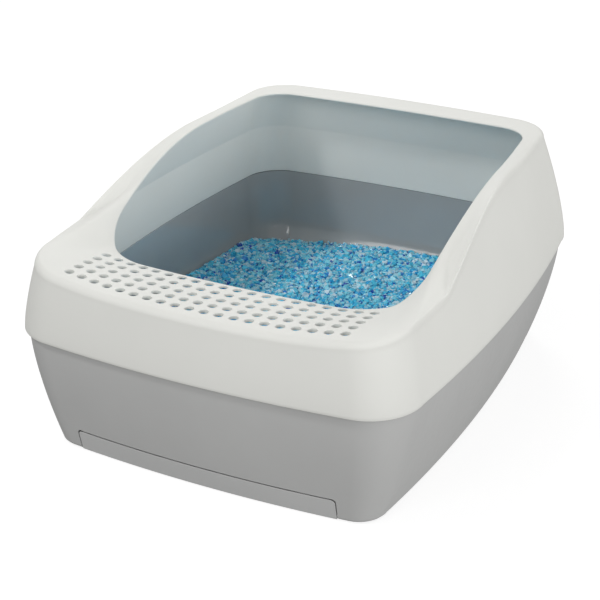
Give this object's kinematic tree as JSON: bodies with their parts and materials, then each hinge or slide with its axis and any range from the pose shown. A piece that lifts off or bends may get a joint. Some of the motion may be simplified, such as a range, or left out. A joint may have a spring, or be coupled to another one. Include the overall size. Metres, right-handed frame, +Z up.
{
  "type": "cat litter box",
  "caption": "Cat litter box with a high-sided open-topped hood, a perforated front step, a lift-out litter pan and a scoop drawer under the pan.",
  "frame": {"origin": "on the floor under the middle of the box", "axes": "+Z up, -Y towards the low front step and the drawer, +X to the right seen from the front"},
  "size_m": [0.4496, 0.5519, 0.252],
  "materials": {
    "hood_plastic": "warm white satin moulded plastic with a fine texture",
    "tub_plastic": "light grey satin moulded plastic",
    "drawer_plastic": "light grey satin moulded plastic",
    "pan_plastic": "grey glossy moulded plastic",
    "scoop_plastic": "grey moulded plastic",
    "silica_crystals": "loose silica gel grains, near white, sky blue and a few deep blue",
    "pad_rubber": "dark matt rubber"
  },
  "bodies": {
    "base": {"base_tub": "tub_plastic", "foot_pads": "pad_rubber"},
    "pan": {"litter_pan": "pan_plastic", "litter_crystals": "silica_crystals"},
    "hood": {"hood": "hood_plastic"},
    "drawer": {"scoop_drawer": "drawer_plastic", "litter_scoop": "scoop_plastic"}
  },
  "joints": [
    {"name": "pan_lift", "type": "slide", "parent": "base", "child": "pan", "axis": [0, 0, 1], "range_m": [0, 0.16]},
    {"name": "hood_lift", "type": "slide", "parent": "pan", "child": "hood", "axis": [0, 0, 1], "range_m": [0, 0.14]},
    {"name": "drawer_slide", "type": "slide", "parent": "base", "child": "drawer", "axis": [0, -1, 0], "range_m": [0, 0.29]}
  ]
}
